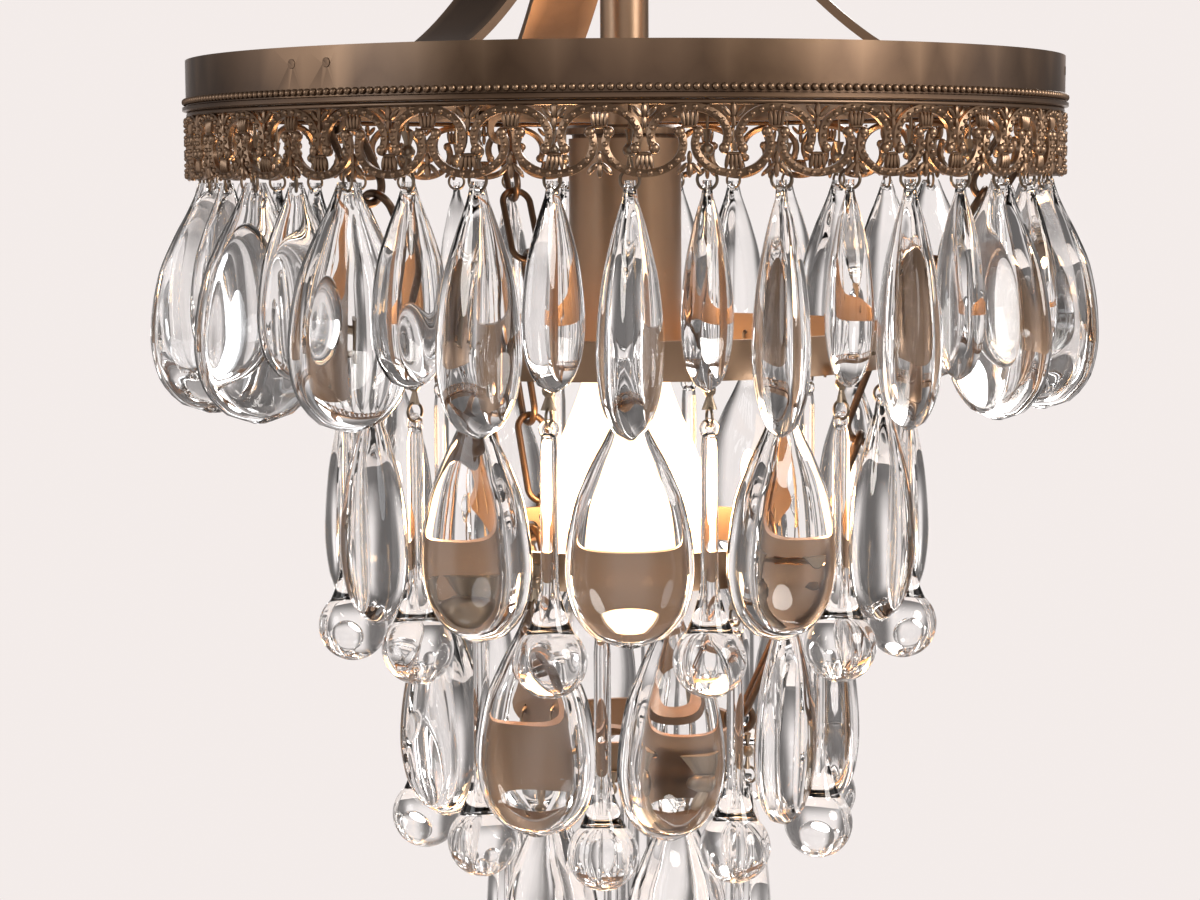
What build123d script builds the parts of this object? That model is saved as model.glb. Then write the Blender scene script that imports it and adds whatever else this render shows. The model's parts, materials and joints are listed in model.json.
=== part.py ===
"""A small tiered crystal chandelier that hangs from a ceiling box.

Millimetres, +Z up, origin in the middle of the ceiling bar's top face, on the ceiling plane.
Heights of the lamp itself are counted from the lower edge of the pierced gallery (GALLERY_BOTTOM).
Azimuth 0 is the front (-Y) and grows towards +X.
"""
import os
from math import atan2, cos, degrees, hypot, radians, sin

from build123d import *

os.makedirs("parts", exist_ok=True)

GALLERY_BOTTOM = -270.0

# ceiling fittings
SCREW_SPACING = 88.9
SCREW_HOLE_RADIUS = 2.2
BAR_LENGTH, BAR_WIDTH, BAR_THICKNESS = 106.0, 16.0, 3.0
CANOPY_RADIUS, CANOPY_DEPTH, CANOPY_WALL = 60.0, 26.0, 1.5
NIPPLE_RADIUS = 5.0
SWIVEL_PIN_Z = -50.0
SWIVEL_PIN_RADIUS = 2.5
STEM_RADIUS, STEM_BORE = 8.375, 5.5
STEM_TOP, STEM_BOTTOM = -63.0, GALLERY_BOTTOM + 10.0

# top ring
BAND_RADIUS, BAND_WALL = 150.0, 2.0
BAND_BOTTOM, BAND_TOP = 24.4, 41.6
FLANGE_INNER, FLANGE_THICKNESS = 141.0, 1.6
TIER_1_RADIUS = 144.5
LACE_HEIGHT_BOTTOM, LACE_WALL = 1.0, 1.6
LACE_SECTIONS, REPEATS_PER_SECTION = 8, 5
STRAP_AZIMUTHS = {"strap_right": 80.0, "strap_front_left": -40.0, "strap_back_left": -160.0}
STRAP_WIDTH, STRAP_THICKNESS = 25.0, 3.0
STRAP_FOOT = 147.2
STRAP_UNDERSIDE = 28.8
HEEL_RADIUS = 2.5
STRAP_SWEEP = [(120, 33), (100, 39.5), (82, 50), (64, 66), (45, 89), (28, 118)]
HUB_RADIUS, HUB_HEIGHT, HUB_THICKNESS = 15.5, 150.0, 10.0
STRAP_TOP_RADIUS = HUB_RADIUS + STRAP_THICKNESS / 2
LUG_RADIUS, LUG_HOLE_HEIGHT = 138.3, 21.5

# lower rings: outer radius, bottom, top (heights above the gallery's lower edge)
RING_WALL = 2.0
SECOND_RING = (94.0, -62.1, -49.3)
THIRD_RING = (68.5, -132.8, -120.3)
FOURTH_RING = (39.2, -202.7, -189.0)
CHAIN_HOLE_RADIUS = 3.4
CHAIN_EDGE = 4.2
CHAIN_STEP = 6.0
HOOK_HOLE_RADIUS = 0.8

# chains and clips
LINK_WIRE, LINK_WIDTH, LINK_OVERLAP = 1.3, 5.5, 2.9
JUMP_RING = 9.0
CLIP_OFFSET = 4.5
CLIP_WIRE = 0.5
LOOP_RADIUS = 3.0
LOOP_DROP = 13.2
TIP_BELOW_LOOP = 0.2
EYE_BELOW_TIP = LOOP_RADIUS - TIP_BELOW_LOOP
EYE_RADIUS = 1.4

# glass: height, half width, half thickness; shape rows are fractions of these, from the tip down
PEAR = (76.0, 20.5, 8.5)
NARROW_PEAR = (76.0, 20.0, 8.5)
ALMOND = (62.0, 12.75, 7.5)
PEAR_SHAPE = [
    (0.0, 0.16, 0.18), (0.07, 0.27, 0.2), (0.14, 0.4, 0.38), (0.23, 0.585, 0.56), (0.4, 0.855, 0.83),
    (0.66, 1.0, 1.0), (0.83, 0.9, 0.88), (0.92, 0.69, 0.66), (0.98, 0.4, 0.38), (1.0, 0.1, 0.1),
]
TIP_HALF_THICKNESS = 1.5
ROD_LENGTH, ROD_RADIUS, BALL_RADIUS, FLARE_RADIUS = 89.0, 2.8, 11.85, 7.6
ROD_EYE_RADIUS = 4.2

# where the drops hang: first azimuth, height of the hook holes
TIER_2_COUNT, TIER_2_START, TIER_2_PEAR_HOLE, TIER_2_ROD_HOLE = 12, 0.0, -56.5, -60.0
TIER_3_COUNT, TIER_3_START, TIER_3_PEAR_HOLE, TIER_3_ROD_HOLE = 10, 11.0, -125.2, -128.5
TIER_4_COUNT, TIER_4_START, TIER_4_PEAR_HOLE, TIER_4_ROD_HOLE = 6, 22.0, -194.6, -199.6
TIER_3_YAW, TIER_4_YAW = 18.0, 4.0
TIER_1_COUNT = 20
TIER_1_STEP = 9.0
TIER_1_DROP_TOP = 0.8

# lamp
CAP_RADIUS, CAP_BOTTOM, CAP_TOP = 20.5, 16.8, 19.9
CUP_RADIUS, CUP_WALL, CUP_TOP, CUP_BOTTOM = 19.5, 1.5, 15.4, -62.0
SOCKET_RADIUS, SOCKET_BORE = 15.0, 13.2
BULB_BASE_RADIUS, GLOBE_RADIUS = 13.0, 29.0
BULB_BASE_TOP, BULB_NECK, BULB_BOTTOM = -30.0, -57.0, -146.0


def level(height):
    """Height above the gallery's lower edge, as a model height."""
    return GALLERY_BOTTOM + height


def radial_plane(azimuth):
    """Upright plane through the stem: X runs outwards, Y runs up from the gallery's lower edge."""
    x, y = sin(radians(azimuth)), -cos(radians(azimuth))
    return Plane(origin=(0, 0, GALLERY_BOTTOM), x_dir=(x, y, 0), z_dir=(y, -x, 0))


def save(piece, name):
    """Label a finished piece and write its STEP file."""
    piece.part.label = name
    export_step(piece.part, f"parts/{name}.step")


def ring_of(seed, count, first_azimuth):
    """Copies of a piece that was made on the +X side, spread evenly around the stem."""
    with BuildPart() as group:
        with PolarLocations(0, count, start_angle=first_azimuth - 90):
            add(seed)
    return group


def turned(seed, azimuth, radius, height, yaw=0.0):
    """One copy of a piece that was made at the origin, hung at an azimuth, radius and height."""
    x, y = radius * sin(radians(azimuth)), -radius * cos(radians(azimuth))
    with BuildPart() as copy:
        with Locations(Location((x, y, height), (0, 0, azimuth - 90 + yaw))):
            add(seed)
    return copy


# ---- ceiling fittings ----
with BuildPart() as ceiling_bar:
    Box(BAR_LENGTH, BAR_WIDTH, BAR_THICKNESS, align=(Align.CENTER, Align.CENTER, Align.MAX))
    with GridLocations(SCREW_SPACING, 0, 2, 1):
        Cylinder(SCREW_HOLE_RADIUS, 3 * BAR_THICKNESS, mode=Mode.SUBTRACT)
    Cylinder(NIPPLE_RADIUS, 3 * BAR_THICKNESS, mode=Mode.SUBTRACT)
    fillet(ceiling_bar.edges().filter_by(Axis.Z).group_by(Axis.X)[0], 3)
    fillet(ceiling_bar.edges().filter_by(Axis.Z).group_by(Axis.X)[-1], 3)
save(ceiling_bar, "ceiling_bar")

with BuildPart() as canopy:
    with BuildSketch(Plane.XZ):
        with BuildLine():
            l1 = Line((NIPPLE_RADIUS, -CANOPY_DEPTH), (26, -CANOPY_DEPTH))
            l2 = Line((CANOPY_RADIUS, 0), (CANOPY_RADIUS, -4))
            l3 = Spline(l1 @ 1, (46, -17.5), l2 @ 1, tangents=[(1, 0), (0.1, 1)])
            l4 = Line(l2 @ 0, (CANOPY_RADIUS - CANOPY_WALL, 0))
            l5 = Line(l4 @ 1, (CANOPY_RADIUS - CANOPY_WALL, -4))
            l6 = Spline(l5 @ 1, (45, -15.7), (26, 1.5 - CANOPY_DEPTH), tangents=[(-0.1, -1), (-1, 0)])
            l7 = Line(l6 @ 1, (NIPPLE_RADIUS, 1.5 - CANOPY_DEPTH))
            Line(l7 @ 1, l1 @ 0)
        make_face()
    revolve(axis=Axis.Z)
save(canopy, "canopy")

with BuildPart() as ceiling_nipple:
    with BuildSketch(Plane.XY.offset(-28.9)):
        Circle(NIPPLE_RADIUS)
        Circle(2.6, mode=Mode.SUBTRACT)
    extrude(amount=28.4)
save(ceiling_nipple, "ceiling_nipple")

with BuildPart() as bar_nut:
    with BuildSketch(Plane.XY.offset(-8)):
        RegularPolygon(9.5, 6)
        Circle(NIPPLE_RADIUS, mode=Mode.SUBTRACT)
    extrude(amount=5)
save(bar_nut, "bar_nut")

with BuildPart() as canopy_collar:
    with BuildSketch(Plane.XZ):
        with BuildLine():
            Polyline(
                (NIPPLE_RADIUS, -26), (13, -26), (14, -29), (13, -38), (9, -40), (5.05, -40),
                (5.05, -35), (8.3, -35), (8.3, -29), (NIPPLE_RADIUS, -29), close=True,
            )
        make_face()
    revolve(axis=Axis.Z)
save(canopy_collar, "canopy_collar")

# ---- swivel ----
with BuildPart() as swivel_fork:
    with BuildSketch(Plane.XY.offset(-34.8)):
        Circle(8)
    extrude(amount=5.5)
    with BuildSketch(Plane.XY.offset(-42)):
        Circle(NIPPLE_RADIUS)
    extrude(amount=7.5)
    with BuildSketch(Plane.XY.offset(-55.5)):
        Circle(9)
        Rectangle(6.4, 20, mode=Mode.SUBTRACT)
    extrude(amount=12.5)
    with BuildSketch(Plane.XY.offset(-43)):
        Circle(9)
    extrude(amount=2.5)
    with Locations((0, 0, SWIVEL_PIN_Z)):
        Cylinder(SWIVEL_PIN_RADIUS, 24, rotation=(0, 90, 0), mode=Mode.SUBTRACT)
save(swivel_fork, "swivel_fork")

with BuildPart() as swivel_pin:
    with Locations((0, 0, SWIVEL_PIN_Z)):
        Cylinder(SWIVEL_PIN_RADIUS, 19, rotation=(0, 90, 0))
save(swivel_pin, "swivel_pin")

# ---- stem ----
with BuildPart() as stem_tip:
    with BuildSketch(Plane.YZ.offset(-3)):
        with Locations((0, SWIVEL_PIN_Z)):
            Circle(6)
        with Locations((0, (SWIVEL_PIN_Z - 60) / 2)):
            Rectangle(12, 10)
        with Locations((0, SWIVEL_PIN_Z)):
            Circle(SWIVEL_PIN_RADIUS + 0.05, mode=Mode.SUBTRACT)
    extrude(amount=6)
    with BuildSketch(Plane.XY.offset(STEM_TOP)):
        Circle(STEM_RADIUS)
    extrude(amount=3)
    with BuildSketch(Plane.XY.offset(STEM_TOP)):
        Circle(STEM_BORE)
    extrude(amount=-9)
save(stem_tip, "stem_tip")

with BuildPart() as stem:
    with BuildSketch(Plane.XY.offset(STEM_BOTTOM)):
        Circle(STEM_RADIUS)
        Circle(STEM_BORE, mode=Mode.SUBTRACT)
    extrude(amount=STEM_TOP - STEM_BOTTOM)
save(stem, "stem")

with BuildPart() as strap_hub:
    with BuildSketch(Plane.XY.offset(level(HUB_HEIGHT))):
        Circle(HUB_RADIUS)
        Circle(STEM_RADIUS, mode=Mode.SUBTRACT)
    extrude(amount=HUB_THICKNESS)
    with BuildSketch(Plane.XY.offset(level(HUB_HEIGHT + HUB_THICKNESS))):
        Circle(23)
        Circle(STEM_RADIUS, mode=Mode.SUBTRACT)
    extrude(amount=2.5)
    with BuildSketch(Plane.XY.offset(level(HUB_HEIGHT + HUB_THICKNESS + 2.5))):
        Circle(14)
        Circle(STEM_RADIUS, mode=Mode.SUBTRACT)
    extrude(amount=6, taper=12)
save(strap_hub, "strap_hub")

# ---- top ring ----
RIVET_RADIUS, RIVET_SPREAD, RIVET_HEIGHT = 1.5, 15.0, 36.5


def rivet_axes(radius):
    """Places of the two rivets of each strap, with local X outwards."""
    places = []
    for azimuth in STRAP_AZIMUTHS.values():
        plane = radial_plane(azimuth)
        for side in (-RIVET_SPREAD / 2, RIVET_SPREAD / 2):
            point = plane.from_local_coords((radius, RIVET_HEIGHT, side))
            places.append(Location(point, (0, 90, azimuth - 90), Extrinsic.XYZ))
    return places


with BuildPart() as top_band:
    with BuildSketch(Plane.XZ):
        with BuildLine():
            Polyline(
                (FLANGE_INNER, level(BAND_BOTTOM)), (BAND_RADIUS, level(BAND_BOTTOM)),
                (BAND_RADIUS + 1.2, level(BAND_BOTTOM + 0.4)), (BAND_RADIUS + 1.2, level(BAND_BOTTOM + 1.6)),
                (BAND_RADIUS, level(BAND_BOTTOM + 2.0)), (BAND_RADIUS, level(BAND_TOP)),
                (BAND_RADIUS - BAND_WALL, level(BAND_TOP)),
                (BAND_RADIUS - BAND_WALL, level(BAND_BOTTOM + FLANGE_THICKNESS)),
                (FLANGE_INNER, level(BAND_BOTTOM + FLANGE_THICKNESS)), close=True,
            )
        make_face()
    revolve(axis=Axis.Z)
    with PolarLocations(TIER_1_RADIUS, 2 * TIER_1_COUNT, start_angle=-90):
        with Locations((0, 0, level(BAND_BOTTOM))):
            Cylinder(HOOK_HOLE_RADIUS, 8, mode=Mode.SUBTRACT)
    with Locations(*rivet_axes(BAND_RADIUS)):
        Cylinder(RIVET_RADIUS, 8, mode=Mode.SUBTRACT)
save(top_band, "top_band")

with BuildPart() as strap_rivets:
    with Locations(*rivet_axes(STRAP_FOOT - STRAP_THICKNESS)):
        Cylinder(RIVET_RADIUS, BAND_RADIUS - STRAP_FOOT + STRAP_THICKNESS,
                 align=(Align.CENTER, Align.CENTER, Align.MIN))
        Cylinder(2.6, 1.2, align=(Align.CENTER, Align.CENTER, Align.MAX))
save(strap_rivets, "strap_rivets")

with BuildPart() as bead_trim:
    with Locations((0, 0, level(BAND_BOTTOM + 3.4))):
        Torus(BAND_RADIUS + 0.8, 0.8)
save(bead_trim, "bead_trim")

with BuildPart() as strap:
    with BuildLine() as route:
        upright = STRAP_FOOT - STRAP_THICKNESS / 2
        flat = level(STRAP_UNDERSIDE + STRAP_THICKNESS / 2)
        foot = Line((upright, 0, level(BAND_TOP - 0.6)), (upright, 0, flat + HEEL_RADIUS))
        heel = TangentArc(foot @ 1, (upright - HEEL_RADIUS, 0, flat), tangent=foot % 1)
        ledge = Line(heel @ 1, (132, 0, flat))
        arm = Spline(
            ledge @ 1,
            *[(radius, 0, level(height)) for radius, height in STRAP_SWEEP],
            (STRAP_TOP_RADIUS, 0, level(HUB_HEIGHT)),
            tangents=[(-1, 0, 0), (0, 0, 1)],
        )
        Line(arm @ 1, (STRAP_TOP_RADIUS, 0, level(HUB_HEIGHT + HUB_THICKNESS)))
    with BuildSketch(Plane(origin=route.line @ 0, x_dir=(1, 0, 0), z_dir=route.line % 0)):
        Rectangle(STRAP_THICKNESS, STRAP_WIDTH)
    sweep()
    with Locations((STRAP_FOOT, RIVET_SPREAD / 2, level(RIVET_HEIGHT)),
                   (STRAP_FOOT, -RIVET_SPREAD / 2, level(RIVET_HEIGHT))):
        Cylinder(RIVET_RADIUS, 12, rotation=(0, 90, 0), mode=Mode.SUBTRACT)
for name, azimuth in STRAP_AZIMUTHS.items():
    save(turned(strap.part, azimuth, 0, 0), name)

# ---- pierced gallery: each section is a pierced strip, one scroll pair to a repeat ----
SECTION_ANGLE = 360 / LACE_SECTIONS
SECTION_GAP = 0.12
REPEAT_ANGLE = SECTION_ANGLE / REPEATS_PER_SECTION
with BuildPart() as lace_section:
    with BuildSketch(Plane.XZ):
        with Locations((BAND_RADIUS - LACE_WALL / 2, level((LACE_HEIGHT_BOTTOM + BAND_BOTTOM) / 2))):
            Rectangle(LACE_WALL, BAND_BOTTOM - LACE_HEIGHT_BOTTOM)
    revolve(axis=Axis.Z, revolution_arc=SECTION_ANGLE - SECTION_GAP)
    for height, shift in ((7.2, 0.25), (18.2, 0.75)):
        with PolarLocations(BAND_RADIUS, REPEATS_PER_SECTION, start_angle=REPEAT_ANGLE * shift,
                            angular_range=SECTION_ANGLE):
            with Locations((0, 0, level(height))):
                Cylinder(4.4, 8, rotation=(0, 90, 0), mode=Mode.SUBTRACT)
lace_gallery = ring_of(lace_section.part, LACE_SECTIONS, 90)
save(lace_gallery, "lace_gallery")

# ---- chain lugs under the straps ----
with BuildPart() as lug:
    with BuildSketch(Plane.YZ.offset(LUG_RADIUS - 1.25)):
        with Locations((0, level((STRAP_UNDERSIDE + LUG_HOLE_HEIGHT) / 2))):
            Rectangle(12.4, STRAP_UNDERSIDE - LUG_HOLE_HEIGHT)
        with Locations((0, level(LUG_HOLE_HEIGHT))):
            Circle(6.2)
            Circle(CHAIN_HOLE_RADIUS + 0.4, mode=Mode.SUBTRACT)
    extrude(amount=2.5)
with BuildPart() as chain_lugs:
    with PolarLocations(0, 3, start_angle=STRAP_AZIMUTHS["strap_right"] - 90):
        add(lug.part)
save(chain_lugs, "chain_lugs")


# ---- lower rings ----
def plain_ring(name, ring, hook_rows, chain_rows):
    """A flat band with a row of hook holes for each kind of drop and a hole for each chain end."""
    outer, bottom, top = ring
    middle = outer - RING_WALL / 2
    with BuildPart() as band:
        with BuildSketch(Plane.XZ):
            with Locations((middle, level((bottom + top) / 2))):
                Rectangle(RING_WALL, top - bottom)
        revolve(axis=Axis.Z)
        for count, start, height in hook_rows:
            with PolarLocations(middle, count, start_angle=start - 90):
                with Locations((0, 0, level(height))):
                    Cylinder(HOOK_HOLE_RADIUS, 6, rotation=(0, 90, 0), mode=Mode.SUBTRACT)
        for azimuth, height in chain_rows:
            with PolarLocations(middle, 3, start_angle=azimuth - 90):
                with Locations((0, 0, level(height))):
                    Cylinder(CHAIN_HOLE_RADIUS, 6, rotation=(0, 90, 0), mode=Mode.SUBTRACT)
    save(band, name)


def hook_rows(count, start, pear_height, rod_height):
    """Pears at the start azimuth and rods half a step on."""
    return [(count, start, pear_height), (count, start + 180 / count, rod_height)]


CHAIN_1 = STRAP_AZIMUTHS["strap_right"]
CHAIN_2 = CHAIN_1 + CHAIN_STEP
CHAIN_3 = CHAIN_2 + CHAIN_STEP
plain_ring("second_ring", SECOND_RING,
           hook_rows(TIER_2_COUNT, TIER_2_START, TIER_2_PEAR_HOLE, TIER_2_ROD_HOLE),
           [(CHAIN_1, SECOND_RING[2] - CHAIN_EDGE), (CHAIN_2, SECOND_RING[1] + CHAIN_EDGE)])
plain_ring("third_ring", THIRD_RING,
           hook_rows(TIER_3_COUNT, TIER_3_START, TIER_3_PEAR_HOLE, TIER_3_ROD_HOLE),
           [(CHAIN_2, THIRD_RING[2] - CHAIN_EDGE), (CHAIN_3, THIRD_RING[1] + CHAIN_EDGE)])
plain_ring("fourth_ring", FOURTH_RING,
           hook_rows(TIER_4_COUNT, TIER_4_START, TIER_4_PEAR_HOLE, TIER_4_ROD_HOLE),
           [(CHAIN_3, FOURTH_RING[2] - CHAIN_EDGE)])


# ---- chains ----
def link(start, length, direction, edgewise):
    """A long oval wire link from start (radius, height), made on the +X side."""
    tilt = degrees(atan2(direction[0], -direction[1]))
    half = length / 2
    centre = (start[0] + direction[0] * half, 0, level(start[1] + direction[1] * half))
    straight = length - 2 * LINK_WIDTH
    with BuildPart() as loop:
        with BuildLine(Plane.XZ if edgewise else Plane.YZ) as path:
            if straight > 0.1:
                side = Line((LINK_WIDTH, -straight / 2), (LINK_WIDTH, straight / 2))
                over = RadiusArc(side @ 1, (-LINK_WIDTH, straight / 2), -LINK_WIDTH)
                back = Line(over @ 1, (-LINK_WIDTH, -straight / 2))
                RadiusArc(back @ 1, side @ 0, -LINK_WIDTH)
            else:
                CenterArc((0, 0), half, 0, 360)
        with BuildSketch(Plane(origin=path.line @ 0, z_dir=path.line % 0)):
            Circle(LINK_WIRE)
        sweep()
    with BuildPart() as placed:
        with Locations(Location(centre, (0, -tilt, 0))):
            add(loop.part)
    return placed.part


def chain(name, azimuth, start, end, jump_ring):
    """Three chains of interlocked links between two (radius, height) points."""
    run = (end[0] - start[0], end[1] - start[1])
    distance = hypot(*run)
    direction = (run[0] / distance, run[1] / distance)
    if jump_ring:
        long_link = (distance - JUMP_RING + 2 * LINK_OVERLAP) / 2
        lengths = [long_link, long_link, JUMP_RING]
    else:
        lengths = [(distance + 2 * LINK_OVERLAP) / 3] * 3
    with BuildPart() as one_chain:
        along = 0.0
        for number, length in enumerate(lengths):
            at = (start[0] + direction[0] * along, start[1] + direction[1] * along)
            add(link(at, length, direction, edgewise=number % 2 == 0))
            along += length - LINK_OVERLAP
    with BuildPart() as chains:
        with PolarLocations(0, 3, start_angle=azimuth - 90):
            add(one_chain.part)
    save(chains, name)


second_mid, third_mid, fourth_mid = (ring[0] - RING_WALL / 2 for ring in (SECOND_RING, THIRD_RING, FOURTH_RING))
chain("chains_upper", CHAIN_1, (LUG_RADIUS, LUG_HOLE_HEIGHT), (second_mid, SECOND_RING[2] - CHAIN_EDGE), False)
chain("chains_middle", CHAIN_2, (second_mid, SECOND_RING[1] + CHAIN_EDGE),
      (third_mid, THIRD_RING[2] - CHAIN_EDGE), True)
chain("chains_lower", CHAIN_3, (third_mid, THIRD_RING[1] + CHAIN_EDGE),
      (fourth_mid, FOURTH_RING[2] - CHAIN_EDGE), True)

# ---- clips: made with the hook hole at the origin, X outwards ----
FAN_HEIGHT, FAN_TOP, FAN_FOOT, BEAD_Z, BEAD_RADIUS = 4.5, 1.5, -10.7, -4.6, 2.0
FAN_WIDE, FAN_NARROW, FAN_THICKNESS = 2.25, 0.9, 2.0


def clip_body(offset_x):
    """Two fans with a bead between them and the lower loop."""
    with BuildPart() as body:
        with BuildSketch(Plane.YZ.offset(offset_x - FAN_THICKNESS / 2)):
            with BuildLine():
                Polyline((-FAN_WIDE, FAN_TOP), (FAN_WIDE, FAN_TOP), (FAN_NARROW, FAN_TOP - FAN_HEIGHT),
                         (-FAN_NARROW, FAN_TOP - FAN_HEIGHT), close=True)
            make_face()
            with BuildLine():
                Polyline((-FAN_WIDE, FAN_FOOT), (FAN_WIDE, FAN_FOOT), (FAN_NARROW, FAN_FOOT + FAN_HEIGHT),
                         (-FAN_NARROW, FAN_FOOT + FAN_HEIGHT), close=True)
            make_face()
        extrude(amount=FAN_THICKNESS)
        with Locations((offset_x, 0, BEAD_Z)):
            Sphere(BEAD_RADIUS)
        with Locations((offset_x, 0, -LOOP_DROP)):
            Torus(LOOP_RADIUS, CLIP_WIRE, rotation=(90, 0, 0))
    return body.part


with BuildPart() as side_clip:
    with BuildLine(Plane.XZ) as hook:
        FilletPolyline((-2.4, -3), (-2.4, 0), (CLIP_OFFSET, 0), radius=1.0)
    with BuildSketch(Plane(origin=hook.line @ 0, z_dir=hook.line % 0)):
        Circle(CLIP_WIRE)
    sweep()
    add(clip_body(CLIP_OFFSET))

HANGER = level(BAND_BOTTOM + FLANGE_THICKNESS) + CLIP_WIRE + 0.1
TIER_1_LOOP = level(TIER_1_DROP_TOP) + TIP_BELOW_LOOP
TIER_1_CLIP_ORIGIN = TIER_1_LOOP + LOOP_DROP


def hanging_clip(reach):
    """A clip on an upright wire whose bent end rests on a ledge, that far above the clip's origin."""
    with BuildPart() as clip:
        with BuildLine(Plane.XZ) as hanger:
            FilletPolyline((2.2, reach), (0, reach), (0, 0), radius=0.8)
        with BuildSketch(Plane(origin=hanger.line @ 0, z_dir=hanger.line % 0)):
            Circle(CLIP_WIRE)
        sweep()
        add(clip_body(0))
    return clip.part


tier_1_clip = hanging_clip(HANGER - TIER_1_CLIP_ORIGIN)


def side_clips(name, ring, rows):
    """The clips of one lower ring."""
    with BuildPart() as clips:
        for count, start, height in rows:
            with PolarLocations(ring[0] - RING_WALL / 2, count, start_angle=start - 90):
                with Locations((0, 0, level(height))):
                    add(side_clip.part)
    save(clips, name)


TIER_2_ROWS = hook_rows(TIER_2_COUNT, TIER_2_START, TIER_2_PEAR_HOLE, TIER_2_ROD_HOLE)
TIER_3_ROWS = hook_rows(TIER_3_COUNT, TIER_3_START, TIER_3_PEAR_HOLE, TIER_3_ROD_HOLE)
TIER_4_ROWS = hook_rows(TIER_4_COUNT, TIER_4_START, TIER_4_PEAR_HOLE, TIER_4_ROD_HOLE)
side_clips("clips_tier_2", SECOND_RING, TIER_2_ROWS)
side_clips("clips_tier_3", THIRD_RING, TIER_3_ROWS)
side_clips("clips_tier_4", FOURTH_RING, TIER_4_ROWS)


# ---- glass: made with the tip at the origin, X through the thickness ----
def flat_pear(shape):
    """A flattened pear drop with its eye near the tip."""
    height, half_width, half_thickness = shape
    with BuildPart() as drop:
        for down, width, thickness in PEAR_SHAPE:
            with BuildSketch(Plane.XY.offset(-down * height)):
                Ellipse(half_thickness * thickness, half_width * width)
        loft(ruled=True)
        with Locations((0, 0, -EYE_BELOW_TIP)):
            Cylinder(EYE_RADIUS, 24, rotation=(0, 90, 0), mode=Mode.SUBTRACT)
    return drop.part


def ball_rod():
    """A thin rod with an eye on top, a flared shoulder and a ball below."""
    ball_z = BALL_RADIUS - ROD_LENGTH
    flare_z = ball_z + 9.2
    with BuildPart() as drop:
        with BuildSketch(Plane.XZ):
            with BuildLine():
                top = Line((0, -5), (ROD_RADIUS, -5))
                shank = Line(top @ 1, (ROD_RADIUS, -52))
                flare = Spline(shank @ 1, (FLARE_RADIUS, flare_z), tangents=[(0, -1), (0.3, -1)])
                foot = Line(flare @ 1, (0, flare_z))
                Line(foot @ 1, top @ 0)
            make_face()
        revolve(axis=Axis.Z)
        with Locations((0, 0, ball_z)):
            Sphere(BALL_RADIUS)
        with Locations((0, 0, -ROD_EYE_RADIUS)):
            Cylinder(ROD_EYE_RADIUS, 2 * TIP_HALF_THICKNESS, rotation=(0, 90, 0))
        with Locations((0, 0, -EYE_BELOW_TIP)):
            Cylinder(EYE_RADIUS, 24, rotation=(0, 90, 0), mode=Mode.SUBTRACT)
    return drop.part


pear, narrow_pear, almond, rod = flat_pear(PEAR), flat_pear(NARROW_PEAR), flat_pear(ALMOND), ball_rod()


def tip_height(hook_height):
    """Height of a drop's tip under a side clip's hook hole."""
    return level(hook_height - LOOP_DROP - TIP_BELOW_LOOP)


def drops_on(name, seed, ring, count, start, hook_height, yaw):
    """One kind of drop around one lower ring, as a group."""
    with BuildPart() as drops:
        with PolarLocations(ring[0] - RING_WALL / 2 + CLIP_OFFSET, count, start_angle=start - 90):
            with Locations(Location((0, 0, tip_height(hook_height)), (0, 0, yaw))):
                add(seed)
    save(drops, name)


# ---- tier 1: large and medium drops turn on their hangers ----
def tier_1_yaw(number, large):
    """Each drop's turn from facing outwards, a little different from drop to drop."""
    if large:
        return 72 + 7 * sin(2.4 * number)
    return 60 + 6 * sin(1.7 * number + 1)


def tier_1_places(large):
    """Azimuth and yaw of every second place on the flange."""
    first = 0 if large else 1
    for number in range(TIER_1_COUNT):
        yield (2 * number + first) * TIER_1_STEP, tier_1_yaw(number, large)


for name, seed, large in (("tier_1_large_drops", pear, True), ("tier_1_medium_drops", almond, False)):
    with BuildPart() as drops:
        add([turned(seed, azimuth, TIER_1_RADIUS, level(TIER_1_DROP_TOP), yaw).part
             for azimuth, yaw in tier_1_places(large)])
    save(drops, name)

with BuildPart() as clips_tier_1:
    add([turned(tier_1_clip, azimuth, TIER_1_RADIUS, TIER_1_CLIP_ORIGIN, yaw).part
         for large in (True, False) for azimuth, yaw in tier_1_places(large)])
save(clips_tier_1, "clips_tier_1")

# ---- tiers 2 to 4 ----
for number in range(TIER_2_COUNT):
    azimuth = TIER_2_START + number * 360 / TIER_2_COUNT
    drop = turned(pear, azimuth, second_mid + CLIP_OFFSET, tip_height(TIER_2_PEAR_HOLE))
    save(drop, f"tier_2_pear_{number + 1:02d}")
drops_on("tier_2_rods", rod, SECOND_RING, *TIER_2_ROWS[1], 0)
drops_on("tier_3_pears", narrow_pear, THIRD_RING, *TIER_3_ROWS[0], TIER_3_YAW)
drops_on("tier_3_rods", rod, THIRD_RING, *TIER_3_ROWS[1], 0)
drops_on("tier_4_pears", narrow_pear, FOURTH_RING, *TIER_4_ROWS[0], TIER_4_YAW)
drops_on("tier_4_rods", rod, FOURTH_RING, *TIER_4_ROWS[1], 0)

# ---- finial: a cross bar in the lowest ring, a clip and a ball rod ----
BAR_Z = level(FOURTH_RING[2] - 4)
FINIAL_CLIP_Z = BAR_Z - 6
FINIAL_BAR_AZIMUTH = 62.0
with BuildPart() as finial_bar:
    with BuildSketch(Plane.XY.offset(BAR_Z - 1)):
        Circle(fourth_mid - RING_WALL / 2)
        Rectangle(90, 6, rotation=FINIAL_BAR_AZIMUTH - 90, mode=Mode.INTERSECT)
        Circle(HOOK_HOLE_RADIUS, mode=Mode.SUBTRACT)
    extrude(amount=2)
save(finial_bar, "finial_bar")

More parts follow.
